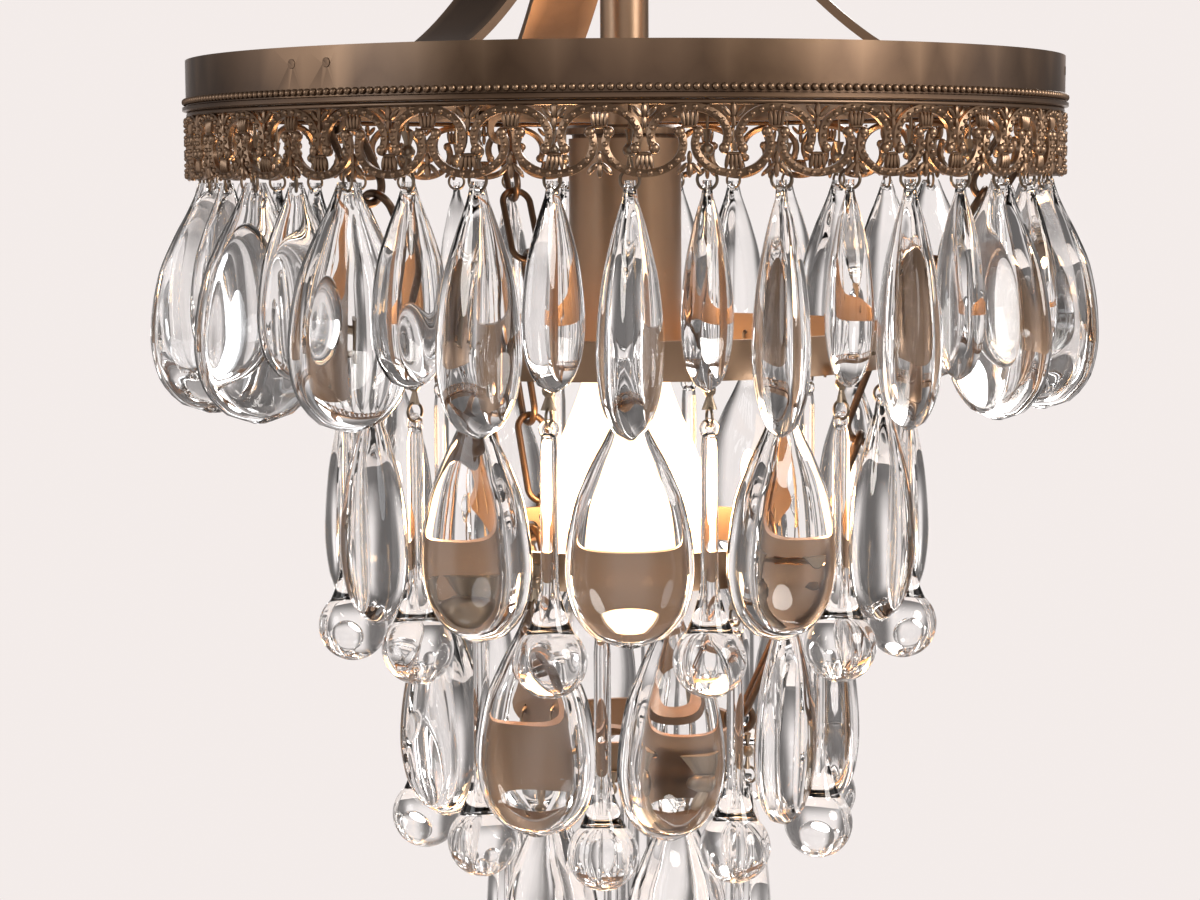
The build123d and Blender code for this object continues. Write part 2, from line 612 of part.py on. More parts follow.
finial_clip = hanging_clip(BAR_Z + 1 + CLIP_WIRE + 0.1 - FINIAL_CLIP_Z)
clip_finial = turned(finial_clip, 90, 0, FINIAL_CLIP_Z)
save(clip_finial, "clip_finial")
save(turned(rod, 90, 0, FINIAL_CLIP_Z - LOOP_DROP - TIP_BELOW_LOOP), "finial_drop")


# ---- lamp ----
def turned_profile(points):
    """Revolve a closed outline of (radius, height) points about the stem."""
    with BuildPart() as turning:
        with BuildSketch(Plane.XZ):
            with BuildLine():
                Polyline(*[(radius, level(height)) for radius, height in points], close=True)
            make_face()
        revolve(axis=Axis.Z)
    return turning


lamp_cap = turned_profile([
    (STEM_RADIUS, CAP_TOP), (CAP_RADIUS - 1, CAP_TOP), (CAP_RADIUS, CAP_TOP - 1),
    (CAP_RADIUS, CAP_BOTTOM), (CAP_RADIUS - 2.5, CAP_BOTTOM), (CAP_RADIUS - 2.5, CUP_TOP),
    (STEM_RADIUS, CUP_TOP)])
save(lamp_cap, "lamp_cap")

lamp_cup = turned_profile([
    (STEM_RADIUS, CUP_TOP), (CUP_RADIUS, CUP_TOP), (CUP_RADIUS, CUP_BOTTOM),
    (CUP_RADIUS - CUP_WALL, CUP_BOTTOM), (CUP_RADIUS - CUP_WALL, CUP_TOP - CUP_WALL),
    (STEM_RADIUS, CUP_TOP - CUP_WALL)])
save(lamp_cup, "lamp_cup")

with BuildPart() as lamp_locknut:
    with BuildSketch(Plane.XY.offset(level(CUP_TOP - CUP_WALL - 3.9))):
        RegularPolygon(14, 6)
        Circle(STEM_RADIUS, mode=Mode.SUBTRACT)
    extrude(amount=3.9)
save(lamp_locknut, "lamp_locknut")

SOCKET_TOP, SOCKET_BOTTOM = 10.0, -50.0
with BuildPart() as lamp_socket:
    add(turned_profile([
        (0, SOCKET_TOP), (SOCKET_RADIUS - 2, SOCKET_TOP), (SOCKET_RADIUS, SOCKET_TOP - 2),
        (SOCKET_RADIUS, SOCKET_BOTTOM), (SOCKET_BORE, SOCKET_BOTTOM),
        (SOCKET_BORE, BULB_BASE_TOP + 4), (0, BULB_BASE_TOP + 4)]).part)
    with Locations((0, 0, level(SOCKET_TOP))):
        Cylinder(2, 12, mode=Mode.SUBTRACT)
save(lamp_socket, "lamp_socket")

bulb_base = turned_profile([
    (0, BULB_BASE_TOP + 4), (4, BULB_BASE_TOP + 4), (4, BULB_BASE_TOP + 2),
    (BULB_BASE_RADIUS, BULB_BASE_TOP - 2), (BULB_BASE_RADIUS, BULB_NECK), (0, BULB_NECK)])
save(bulb_base, "bulb_base")

with BuildPart() as bulb_globe:
    globe_z = BULB_BOTTOM + GLOBE_RADIUS
    with BuildSketch(Plane.XZ):
        with BuildLine():
            base = Line((0, level(BULB_NECK)), (BULB_BASE_RADIUS, level(BULB_NECK)))
            neck = Spline(base @ 1, (GLOBE_RADIUS, level(globe_z)), tangents=[(0.1, -1), (0, -1)])
            ThreePointArc(neck @ 1, (GLOBE_RADIUS * cos(radians(45)),
                                     level(globe_z - GLOBE_RADIUS * sin(radians(45)))),
                          (0, level(BULB_BOTTOM)))
            Line((0, level(BULB_BOTTOM)), base @ 0)
        make_face()
    revolve(axis=Axis.Z)
save(bulb_globe, "bulb_globe")
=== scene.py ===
"""Looks of the tiered crystal chandelier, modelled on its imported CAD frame. Metres, +Z up."""
import json
import logging
import math
from dataclasses import dataclass
from enum import Enum

import bpy
from mathutils import Matrix, Vector


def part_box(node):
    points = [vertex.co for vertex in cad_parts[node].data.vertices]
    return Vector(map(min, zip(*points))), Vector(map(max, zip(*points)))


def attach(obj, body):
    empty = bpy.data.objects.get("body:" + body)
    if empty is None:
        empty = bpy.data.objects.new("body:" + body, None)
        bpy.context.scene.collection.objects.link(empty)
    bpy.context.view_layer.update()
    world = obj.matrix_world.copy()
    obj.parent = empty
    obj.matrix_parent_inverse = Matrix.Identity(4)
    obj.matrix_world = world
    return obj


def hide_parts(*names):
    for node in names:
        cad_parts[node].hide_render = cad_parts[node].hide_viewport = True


logging.basicConfig(level=logging.INFO)
LOG = logging.getLogger("chandelier")

MM = 0.001
GALLERY_BOTTOM = -270.0
BAND_RADIUS = 150.0
BAND_BOTTOM = 24.4

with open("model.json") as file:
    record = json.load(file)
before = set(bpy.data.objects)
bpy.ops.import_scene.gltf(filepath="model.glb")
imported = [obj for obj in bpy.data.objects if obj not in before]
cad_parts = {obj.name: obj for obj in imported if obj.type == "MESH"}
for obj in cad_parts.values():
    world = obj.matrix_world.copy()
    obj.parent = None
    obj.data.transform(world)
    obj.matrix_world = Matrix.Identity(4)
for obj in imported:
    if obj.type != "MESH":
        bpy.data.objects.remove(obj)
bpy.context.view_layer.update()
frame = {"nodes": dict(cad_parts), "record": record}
NODES = frame["nodes"]


def level(height: float) -> float:
    """Height above the gallery's lower edge, as a height in the row frame, in millimetres."""
    return GALLERY_BOTTOM + height


# ---------------------------------------------------------------- finishes
class Look(Enum):
    """The finishes of the chandelier."""

    BRONZE = "bronze"
    DARK_BRASS = "dark_brass"
    GLASS = "clear_glass"
    PORCELAIN = "porcelain"
    SHELL = "screw_shell"
    BULB = "bulb_glass"
    STEEL = "steel"


@dataclass(frozen=True)
class Metal:
    """A metal: two tones that mix in soft patches, and a painted highlight in a bright tone on edges.

    Args:
        dark: the darker tone of the patches.
        light: the lighter tone of the patches.
        edge: colour of the painted highlight on sharp edges.
        roughness: roughness of the open faces.
        patch_scale: patches per metre.
    """

    dark: tuple
    light: tuple
    edge: tuple
    roughness: float
    patch_scale: float

    def material(self, look: Look, patina_and_highlight: bpy.types.NodeTree) -> bpy.types.Material:
        """Make the metal from the shared patina.

        Args:
            look: the finish, which names the material.
            patina_and_highlight: the shared effect that mixes the patches and paints the edge highlight.

        Returns:
            The material.
        """
        material, shader = principled(look.value)
        node = material.node_tree.nodes.new("ShaderNodeGroup")
        node.node_tree = patina_and_highlight
        for socket, tone in (("Dark", self.dark), ("Light", self.light), ("Edge", self.edge)):
            node.inputs[socket].default_value = (*tone, 1)
        node.inputs["Scale"].default_value = self.patch_scale
        node.inputs["Base Roughness"].default_value = self.roughness
        material.node_tree.links.new(node.outputs["Color"], shader.inputs["Base Color"])
        material.node_tree.links.new(node.outputs["Roughness"], shader.inputs["Roughness"])
        shader.inputs["Metallic"].default_value = 0.85
        shader.inputs["Coat Weight"].default_value = 0.35
        shader.inputs["Coat Roughness"].default_value = 0.25
        return material


@dataclass(frozen=True)
class Plain:
    """A finish of one colour.

    Args:
        color: its colour.
        sockets: (shader socket, value) pairs.
        glow: colour of the light that it gives, if any.
    """

    color: tuple
    sockets: tuple
    glow: tuple = ()

    def material(self, look: Look) -> bpy.types.Material:
        """Make the material, named after the look."""
        material, shader = principled(look.value)
        shader.inputs["Base Color"].default_value = (*self.color, 1)
        for socket, value in self.sockets:
            shader.inputs[socket].default_value = value
        if self.glow:
            shader.inputs["Emission Color"].default_value = (*self.glow, 1)
        return material


# The third tone of each metal is the colour of its painted edge highlight.
METALS = {
    Look.BRONZE: Metal((0.06, 0.033, 0.018), (0.145, 0.085, 0.048), (0.3, 0.19, 0.115), 0.33, 45),
    Look.DARK_BRASS: Metal((0.035, 0.024, 0.016), (0.11, 0.08, 0.055), (0.35, 0.27, 0.19), 0.33, 160),
    Look.SHELL: Metal((0.45, 0.32, 0.14), (0.7, 0.52, 0.25), (0.9, 0.75, 0.45), 0.25, 60),
    Look.STEEL: Metal((0.35, 0.35, 0.36), (0.55, 0.55, 0.56), (0.8, 0.8, 0.8), 0.3, 60),
}
PLAINS = {
    Look.GLASS: Plain((1, 1, 1), (("Roughness", 0.0), ("IOR", 1.5), ("Transmission Weight", 1.0))),
    Look.PORCELAIN: Plain((0.85, 0.82, 0.76), (("Roughness", 0.2),)),
    Look.BULB: Plain((1, 0.9, 0.75), (("Roughness", 0.3), ("Emission Strength", 2.4)), (1.0, 0.66, 0.36)),
}


def patina_and_highlight_group() -> bpy.types.NodeTree:
    """Build the shared effect: two tones in patches, and a painted highlight on sharp edges.
    """
    group = bpy.data.node_groups.new("patina_and_highlight", "ShaderNodeTree")
    for name in ("Dark", "Light", "Edge"):
        group.interface.new_socket(name, in_out="INPUT", socket_type="NodeSocketColor")
    for name in ("Scale", "Base Roughness"):
        group.interface.new_socket(name, in_out="INPUT", socket_type="NodeSocketFloat")
    group.interface.new_socket("Color", in_out="OUTPUT", socket_type="NodeSocketColor")
    group.interface.new_socket("Roughness", in_out="OUTPUT", socket_type="NodeSocketFloat")
    add, link = group.nodes.new, group.links.new
    inputs, outputs = add("NodeGroupInput"), add("NodeGroupOutput")
    where = add("ShaderNodeTexCoord")
    cloud = add("ShaderNodeTexNoise")
    cloud.inputs["Detail"].default_value = 6
    cloud.inputs["Roughness"].default_value = 0.6
    patches = add("ShaderNodeMix")
    patches.data_type = "RGBA"
    # Painted highlight: sharp edges, found by their pointiness, take the bright edge tone.
    highlight_mask = add("ShaderNodeMapRange")
    highlight_mask.inputs["From Min"].default_value = 0.53
    highlight_mask.inputs["From Max"].default_value = 0.62
    geometry = add("ShaderNodeNewGeometry")
    highlighted = add("ShaderNodeMix")
    highlighted.data_type = "RGBA"
    spread = add("ShaderNodeMapRange")
    spread.inputs["To Min"].default_value = -0.06
    spread.inputs["To Max"].default_value = 0.12
    rough = add("ShaderNodeMath")
    link(where.outputs["Object"], cloud.inputs["Vector"])
    link(inputs.outputs["Scale"], cloud.inputs["Scale"])
    link(cloud.outputs["Fac"], patches.inputs["Factor"])
    link(inputs.outputs["Dark"], patches.inputs["A"])
    link(inputs.outputs["Light"], patches.inputs["B"])
    link(geometry.outputs["Pointiness"], highlight_mask.inputs["Value"])
    link(highlight_mask.outputs["Result"], highlighted.inputs["Factor"])
    link(patches.outputs["Result"], highlighted.inputs["A"])
    link(inputs.outputs["Edge"], highlighted.inputs["B"])
    link(cloud.outputs["Fac"], spread.inputs["Value"])
    link(spread.outputs["Result"], rough.inputs[0])
    link(inputs.outputs["Base Roughness"], rough.inputs[1])
    link(highlighted.outputs["Result"], outputs.inputs["Color"])
    link(rough.outputs["Value"], outputs.inputs["Roughness"])
    return group


def principled(name: str) -> tuple:
    """Make a material with a plain shader.

    Args:
        name: the material's name.

    Returns:
        The material and its shader node.
    """
    material = bpy.data.materials.new(name)
    material.use_nodes = True
    return material, material.node_tree.nodes["Principled BSDF"]


def make_materials() -> dict:
    """Make every finish of the chandelier.

    Returns:
        The materials by look.
    """
    patina_and_highlight = patina_and_highlight_group()
    made = {look: metal.material(look, patina_and_highlight) for look, metal in METALS.items()}
    made.update({look: plain.material(look) for look, plain in PLAINS.items()})
    return made


class Dresser:
    """Finishes pieces: gives them a material and a body, and hides the nodes they stand for."""

    def __init__(self, materials: dict) -> None:
        """Keep the materials by look."""
        self.materials = materials

    def dress(self, obj: bpy.types.Object, look: Look, body: str, node: str) -> None:
        """Finish one new piece.

        Args:
            obj: the piece.
            look: its finish.
            body: the body it moves with.
            node: the CAD node it stands for.
        """
        obj.data.materials.clear()
        obj.data.materials.append(self.materials[look])
        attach(obj, body)
        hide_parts(node)
        LOG.info("%s stands for %s on %s", obj.name, node, body)

    def dress_node(self, node: str, look: Look) -> None:
        """Finish a CAD node that stays visible."""
        obj = NODES[node]
        obj.data.materials.clear()
        obj.data.materials.append(self.materials[look])
        LOG.info("%s keeps its CAD shape", node)


# ---------------------------------------------------------------- modelling helpers
def deselect() -> None:
    """Leave edit mode and deselect everything."""
    if bpy.context.object and bpy.context.object.mode != "OBJECT":
        bpy.ops.object.mode_set(mode="OBJECT")
    bpy.ops.object.select_all(action="DESELECT")


def only(obj: bpy.types.Object) -> None:
    """Select one object and make it active."""
    deselect()
    obj.select_set(True)
    bpy.context.view_layer.objects.active = obj


def join(name: str, objects: list) -> bpy.types.Object:
    """Join objects.

    Args:
        name: the joined object's name.
        objects: what to join; the first one takes the others in.

    Returns:
        The first object.
    """
    deselect()
    for obj in objects:
        obj.select_set(True)
    bpy.context.view_layer.objects.active = objects[0]
    if len(objects) > 1:
        bpy.ops.object.join()
    objects[0].name = name
    return objects[0]


def settle(obj: bpy.types.Object, matrix: Matrix = Matrix.Identity(4)) -> bpy.types.Object:
    """Put an object's own placement into its mesh.

    Args:
        obj: the object.
        matrix: a further placement, applied after its own.

    Returns:
        The same object, at the origin.
    """
    bpy.context.view_layer.update()
    obj.data.transform(matrix @ obj.matrix_world)
    obj.matrix_world = Matrix.Identity(4)
    return obj


def smooth(obj: bpy.types.Object, angle: float = 35) -> bpy.types.Object:
    """Shade smooth except over edges sharper than an angle in degrees, and return the object."""
    only(obj)
    bpy.ops.object.shade_smooth_by_angle(angle=math.radians(angle))
    return obj


def copies(name: str, master: bpy.types.Object, matrices: list) -> bpy.types.Object:
    """Copy a master, each copy with its own mesh, and join the copies.

    Args:
        name: name of the joined copies.
        master: the object to copy; it stays.
        matrices: one placement for each copy.

    Returns:
        The joined copies.
    """
    placed = []
    for matrix in matrices:
        copy = bpy.data.objects.new(name, master.data.copy())
        copy.data.transform(matrix)
        bpy.context.scene.collection.objects.link(copy)
        placed.append(copy)
    return join(name, placed)


def discard(*objects: bpy.types.Object) -> None:
    """Remove masters that have been copied."""
    for obj in objects:
        bpy.data.objects.remove(obj)


def place(azimuth: float, radius: float, height: float, yaw: float = 0.0) -> Matrix:
    """Placement around the stem of a piece made at the origin with X outwards.

    Args:
        azimuth: degrees round from -Y towards +X.
        radius: distance from the stem's axis, in millimetres.
        height: height in the row frame, in millimetres.
        yaw: degrees turned from facing outwards.

    Returns:
        The placement.
    """
    turn = math.radians(azimuth)
    where = Vector((radius * math.sin(turn), -radius * math.cos(turn), height)) * MM
    return Matrix.Translation(where) @ Matrix.Rotation(turn - math.pi / 2 + math.radians(yaw), 4, "Z")


def torus(where: tuple, major: float, minor: float, segments: tuple, turn: tuple = (0, 0, 0)
          ) -> bpy.types.Object:
    """Model a ring of round wire.

    Args:
        where: its centre, in millimetres.
        major: radius of the ring.
        minor: radius of the wire.
        segments: segments round the ring and round the wire.
        turn: rotation, in radians.

    Returns:
        The ring, with its place in its mesh.
    """
    deselect()
    bpy.ops.mesh.primitive_torus_add(
        major_radius=major * MM, minor_radius=minor * MM, major_segments=segments[0],
        minor_segments=segments[1], location=Vector(where) * MM, rotation=turn)
    return settle(bpy.context.object)


def ringed(name: str, stations: list, sides: int) -> bpy.types.Object:
    """Model a closed body by extruding and scaling a ring.

    Args:
        name: the object's name.
        stations: (height, half thickness along X, half width along Y) in millimetres.
        sides: vertices in each ring.

    Returns:
        The closed mesh, shaded smooth.
    """
    deselect()
    bpy.ops.mesh.primitive_circle_add(vertices=sides, radius=1.0, fill_type="NOTHING")
    obj = bpy.context.object
    obj.name = name
    bpy.ops.object.mode_set(mode="EDIT")
    bpy.ops.mesh.select_all(action="SELECT")
    height, thick, wide = stations[0]
    bpy.ops.transform.resize(value=(thick * MM, wide * MM, 1))
    bpy.ops.transform.translate(value=(0, 0, height * MM))
    for before, after in zip(stations, stations[1:]):
        bpy.ops.mesh.extrude_region_move(
            TRANSFORM_OT_translate={"value": (0, 0, (after[0] - before[0]) * MM)})
        bpy.ops.transform.resize(value=(after[1] / before[1], after[2] / before[2], 1))
    bpy.ops.mesh.select_all(action="SELECT")
    bpy.ops.mesh.fill_holes(sides=0)
    bpy.ops.mesh.normals_make_consistent(inside=False)
    bpy.ops.object.mode_set(mode="OBJECT")
    return smooth(obj)


def blended(table: tuple, at: float) -> tuple:
    """Read a table with a smooth curve through its rows.

    Args:
        table: rows of (position, value, value), by rising position.
        at: the position to read.

    Returns:
        The two values there.
    """
    last = len(table) - 1
    index = max(row for row in range(last) if table[row][0] <= at)
    low, high = table[index], table[index + 1]
    span = high[0] - low[0]
    t = (at - low[0]) / span
    values = []
    for column in (1, 2):
        def slope(row: int) -> float:
            """Slope of this column at a row."""
            a, b = table[max(row - 1, 0)], table[min(row + 1, last)]
            return (b[column] - a[column]) / (b[0] - a[0])
        h00 = 2 * t ** 3 - 3 * t ** 2 + 1
        h10 = t ** 3 - 2 * t ** 2 + t
        h01 = 3 * t ** 2 - 2 * t ** 3
        h11 = t ** 3 - t ** 2
        values.append(h00 * low[column] + h10 * span * slope(index)
                      + h01 * high[column] + h11 * span * slope(index + 1))
    return tuple(values)


def tube(name: str, path: list, radius: float, sides: int = 10) -> bpy.types.Object:
    """Model a wire by turning a curve into a mesh.

    Args:
        name: the object's name.
        path: points (x, y, z) in millimetres.
        radius: radius of the wire, in millimetres.
        sides: sides of the wire, about.

    Returns:
        The wire's mesh.
    """
    curve = bpy.data.curves.new(name, "CURVE")
    curve.dimensions = "3D"
    curve.bevel_depth = radius * MM
    curve.bevel_resolution = max(1, sides // 4 - 1)
    curve.use_fill_caps = True
    line = curve.splines.new("POLY")
    line.points.add(len(path) - 1)
    for point, spot in zip(line.points, path):
        point.co = (*[value * MM for value in spot], 1)
    obj = bpy.data.objects.new(name, curve)
    bpy.context.scene.collection.objects.link(obj)
    only(obj)
    bpy.ops.object.convert(target="MESH")
    return bpy.context.object


# ---------------------------------------------------------------- glass drops
@dataclass(frozen=True)
class PearDrop:
    """A flattened pear of glass, made with its tip at the origin and X through its thickness.

    Args:
        height: from the tip to the foot, in millimetres.
        half_width: half its widest width.
        half_thickness: half its thickest thickness.
        eye_below_tip: from the tip to the middle of the eye.
        eye_radius: radius of the eye.
        rings: rings of faces from the tip to the foot.
        sides: faces round the drop.
    """

    height: float
    half_width: float
    half_thickness: float
    eye_below_tip: float = 2.8
    eye_radius: float = 1.4
    rings: int = 26
    sides: int = 40

    def master(self, name: str) -> bpy.types.Object:
        """Model the drop."""
        stations = []
        for ring in range(self.rings + 1):
            down = ring / self.rings
            width, thickness = blended(PEAR_OUTLINE, down)
            stations.append((-down * self.height, thickness * self.half_thickness,
                             width * self.half_width))
        return self.bored(ringed(name, stations, self.sides))

    def bored(self, obj: bpy.types.Object) -> bpy.types.Object:
        """Drill the eye through the drop, along X."""
        deselect()
        bpy.ops.mesh.primitive_cylinder_add(
            vertices=20, radius=self.eye_radius * MM, depth=20 * MM,
            location=(0, 0, -self.eye_below_tip * MM), rotation=(0, math.pi / 2, 0))
        drill = bpy.context.object
        cut = obj.modifiers.new("eye", "BOOLEAN")
        cut.operation = "DIFFERENCE"
        cut.object = drill
        only(obj)
        bpy.ops.object.modifier_apply(modifier="eye")
        discard(drill)
        return smooth(obj)


# fraction of the height down from the tip, fraction of the width, fraction of the thickness
PEAR_OUTLINE = (
    (0.0, 0.16, 0.18), (0.07, 0.27, 0.2), (0.14, 0.4, 0.38), (0.23, 0.585, 0.56), (0.4, 0.855, 0.83),
    (0.66, 1.0, 1.0), (0.83, 0.9, 0.88), (0.92, 0.69, 0.66), (0.98, 0.4, 0.38), (1.0, 0.1, 0.1),
)
WIDE_PEAR = PearDrop(76.0, 20.5, 8.5)
NARROW_PEAR = PearDrop(76.0, 20.0, 8.5)
ALMOND = PearDrop(62.0, 12.75, 7.5)


@dataclass(frozen=True)
class BallRod:
    """A glass rod with an eye on top, a flared shoulder, a crease and a ball; its tip is at the origin.

    Args:
        length: from the tip to the foot of the ball, in millimetres.
        shank: radius of the shank.
        shank_foot: height at which the shank begins to flare.
        flare: radius of the shoulder's rim.
        flare_above_ball: height of the rim above the ball's middle.
        ball: radius of the ball.
        sides: faces round the rod.
    """

    length: float = 89.0
    shank: float = 2.8
    shank_foot: float = -50.0
    flare: float = 7.6
    flare_above_ball: float = 9.2
    ball: float = 11.85
    sides: int = 32

    def stations(self) -> list:
        """Heights and half sizes of the rod's rings, from the top down."""
        ball_z = self.ball - self.length
        drop = ball_z + self.flare_above_ball - self.shank_foot
        rings = [(-4.6, 1.3, 1.6), (-5.4, 2.0, 2.4), (-7.0, 2.4, 2.5)]
        rings += [(z, self.shank, self.shank) for z in (-10.0, -24.0, -38.0, self.shank_foot)]
        for step in range(1, 11):
            share = step / 10
            radius = self.shank + (self.flare - self.shank) * share ** 1.7
            rings.append((self.shank_foot + drop * share, radius, radius))
        for step in range(1, 21):
            angle = math.radians(51 - (51 + 88) * step / 20)
            radius = self.ball * math.cos(angle)
            rings.append((ball_z + self.ball * math.sin(angle), radius, radius))
        return rings

    def master(self, name: str) -> bpy.types.Object:
        """Model the rod with its eye."""
        rod = ringed(name, self.stations(), self.sides)
        eye = smooth(torus((0, 0, -3.35), 2.3, 1.05, (28, 12), (0, math.pi / 2, 0)), 80)
        return smooth(join(name, [rod, eye]), 40)


# ---------------------------------------------------------------- tiers
LOOP_DROP = 13.2
CLIP_OFFSET = 4.5
EYE_PLAY = 0.2


@dataclass(frozen=True)
class Tier:
    """One of the lower rings and what hangs from it.

    Args:
        number: the tier's number in the node names.
        middle: middle radius of the ring's wall.
        count: drops of each kind.
        start: azimuth of the first flat drop.
        pear_hole: height of the flat drops' hook holes.
        rod_hole: height of the rods' hook holes.
        yaw: turn of the flat drops from facing outwards.
    """

    number: int
    middle: float
    count: int
    start: float
    pear_hole: float
    rod_hole: float
    yaw: float

    def azimuths(self, rods: bool) -> list:
        """Azimuths of the rods or of the flat drops."""
        step = 360 / self.count
        return [self.start + step * (index + (0.5 if rods else 0)) for index in range(self.count)]

    def clip_places(self) -> list:
        """Placements of every clip of the ring."""
        rows = ((False, self.pear_hole), (True, self.rod_hole))
        return [place(azimuth, self.middle, level(hole))
                for rods, hole in rows for azimuth in self.azimuths(rods)]

    def drop_places(self, rods: bool) -> list:
        """Placements of the rods' or of the flat drops' tips."""
        tip = level((self.rod_hole if rods else self.pear_hole) - LOOP_DROP - EYE_PLAY)
        yaw = 0 if rods else self.yaw
        return [place(azimuth, self.middle + CLIP_OFFSET, tip, yaw) for azimuth in self.azimuths(rods)]


@dataclass(frozen=True)
class TopTier:
    """The drops under the top ring, large and medium by turns.

    Args:
        radius: where they hang on the ring's flange.
        top: height of their tips.
        count: drops of each size.
        step: degrees from a large drop to the next medium one.
    """

    radius: float = 144.5
    top: float = 0.8
    count: int = 20
    step: float = 9.0

    def places(self, large: bool, height: float) -> list:
        """Placements at a height of the large or of the medium drops, each turned a little differently."""
        placed = []
        for number in range(self.count):
            azimuth = (2 * number + (0 if large else 1)) * self.step
            yaw = 72 + 7 * math.sin(2.4 * number) if large else 60 + 6 * math.sin(1.7 * number + 1)
            placed.append(place(azimuth, self.radius, height, yaw))
        return placed


TOP_TIER = TopTier()
SWINGING_TIER = Tier(2, 93.0, 12, 0.0, -56.5, -60.0, 0.0)
FIXED_TIERS = (
    Tier(3, 67.5, 10, 11.0, -125.2, -128.5, 18.0),
    Tier(4, 38.2, 6, 22.0, -194.6, -199.6, 4.0),
)
TIERS = (SWINGING_TIER, *FIXED_TIERS)


class Glassware:
    """Every drop and rod of the chandelier."""

    def __init__(self, dresser: Dresser) -> None:
        """Model one of each kind."""
        self.dresser = dresser
        self.pear, self.narrow = WIDE_PEAR.master("pear"), NARROW_PEAR.master("narrow_pear")
        self.almond, self.rod = ALMOND.master("almond"), BallRod().master("rod")

    def hang(self, name: str, master: bpy.types.Object, places: list, body: str, node: str) -> None:
        """Copy one kind of glass to its places.

        Args:
            name: name of the piece.
            master: the drop or rod to copy.
            places: a placement for each copy.
            body: the body that the piece moves with.
            node: the CAD node it stands for.
        """
        self.dresser.dress(copies(name, master, places), Look.GLASS, body, node)

    def build(self) -> None:
        """Hang every drop and rod, and remove the masters."""
        for master, large, node in ((self.pear, True, "tier_1_large_drops"),
                                    (self.almond, False, "tier_1_medium_drops")):
            places = TOP_TIER.places(large, level(TOP_TIER.top))
            self.hang(f"{node}_glass", master, places, "lamp_frame", node)
        for tier in TIERS:
            name = f"tier_{tier.number}"
            self.hang(f"{name}_rod_glass", self.rod, tier.drop_places(rods=True), "lamp_frame",
                      f"{name}_rods")
        for index, matrix in enumerate(SWINGING_TIER.drop_places(rods=False), start=1):
            self.hang(f"pear_glass_{index:02d}", self.pear, [matrix], f"drop_{index:02d}",
                      f"tier_2_pear_{index:02d}")
        for tier in FIXED_TIERS:
            name = f"tier_{tier.number}"
            self.hang(f"{name}_pear_glass", self.narrow, tier.drop_places(rods=False), "lamp_frame",
                      f"{name}_pears")
        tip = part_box("finial_drop")[1][2] / MM
        self.hang("finial_glass", self.rod, [place(90, 0, tip)], "finial", "finial_drop")
        discard(self.pear, self.narrow, self.almond, self.rod)


# ---------------------------------------------------------------- clips
@dataclass(frozen=True)
class Clip:
    """Two fluted fans with a faceted bead between them, a hook above and a wire loop below.

    Args:
        flutes: flutes round each fan.
        fan_radius: radius of a fan's wide end, in millimetres.
        neck_radius: radius of its narrow end.
        fan_height: height of a fan.
        flatness: thickness of a fan over its width.
        flute_depth: how far a flute's hollow is drawn in.
        bead: radius of the bead.
        bead_z: height of the bead, from the hook hole.
        loop: radius of the loop.
        wire: radius of the wire.
    """

    flutes: int = 9
    fan_radius: float = 2.6
    neck_radius: float = 0.9
    fan_height: float = 4.6
    flatness: float = 0.48
    flute_depth: float = 0.86
    bead: float = 2.15
    bead_z: float = -4.6
    loop: float = 3.0
    wire: float = 0.5

    def fan(self, middle: float, offset: float, up: bool) -> bpy.types.Object:
        """Model one fan: a flattened cone with alternate edges drawn in.

        Args:
            middle: height of its middle.
            offset: distance outwards from the hook hole.
            up: whether its wide end is on top.

        Returns:
            The fan.
        """
        sides = 2 * self.flutes
        deselect()
        bpy.ops.mesh.primitive_cone_add(
            vertices=sides, radius1=self.fan_radius * MM, radius2=self.neck_radius * MM,
            depth=self.fan_height * MM, end_fill_type="NGON")
        obj = bpy.context.object
        for vertex in obj.data.vertices:
            side = round(math.atan2(vertex.co.y, vertex.co.x) / (2 * math.pi) * sides)
            drawn_in = self.flute_depth if side % 2 else 1.0
            vertex.co.x *= self.flatness * drawn_in
            vertex.co.y *= drawn_in
        tip_over = Matrix.Rotation(math.pi if up else 0.0, 4, "Y")
        return settle(obj, Matrix.Translation(Vector((offset, 0, middle)) * MM) @ tip_over)

    def body(self, offset: float) -> list:
        """The fans, the bead, its collars and the loop, at a distance outwards from the hook hole."""
        pieces = [self.fan(-0.8, offset, True), self.fan(-8.4, offset, False)]
        deselect()
        bpy.ops.mesh.primitive_ico_sphere_add(
            subdivisions=2, radius=self.bead * MM, location=(offset * MM, 0, self.bead_z * MM))
        pieces.append(settle(bpy.context.object))
        pieces += [torus((offset, 0, height), 1.0, 0.35, (14, 6)) for height in (-3.0, -6.2)]
        pieces.append(torus((offset, 0, -LOOP_DROP), self.loop, self.wire, (28, 8), (math.pi / 2, 0, 0)))
        return pieces

    def side_master(self) -> bpy.types.Object:
        """A clip that hooks through a ring's wall; the hook hole is at the origin, X outwards."""
        bend = [(-2.4, 0, -3), (-2.4, 0, -1), (-2.1, 0, -0.3), (-1.4, 0, 0), (CLIP_OFFSET, 0, 0)]
        hook = tube("hook", bend, self.wire)
        return smooth(join("side_clip", [hook] + self.body(CLIP_OFFSET)), 30)

    def hanging_master(self, name: str, reach: float) -> bpy.types.Object:
        """A clip on an upright wire.

        Args:
            name: the object's name.
            reach: height of the ledge that the wire's bent end rests on, above the origin.

        Returns:
            The clip.
        """
        bend = [(2.2, 0, reach), (0.8, 0, reach), (0.2, 0, reach - 0.2), (0, 0, reach - 0.8), (0, 0, 0)]
        hook = tube("hanger", bend, self.wire)
        return smooth(join(name, [hook] + self.body(0)), 30)


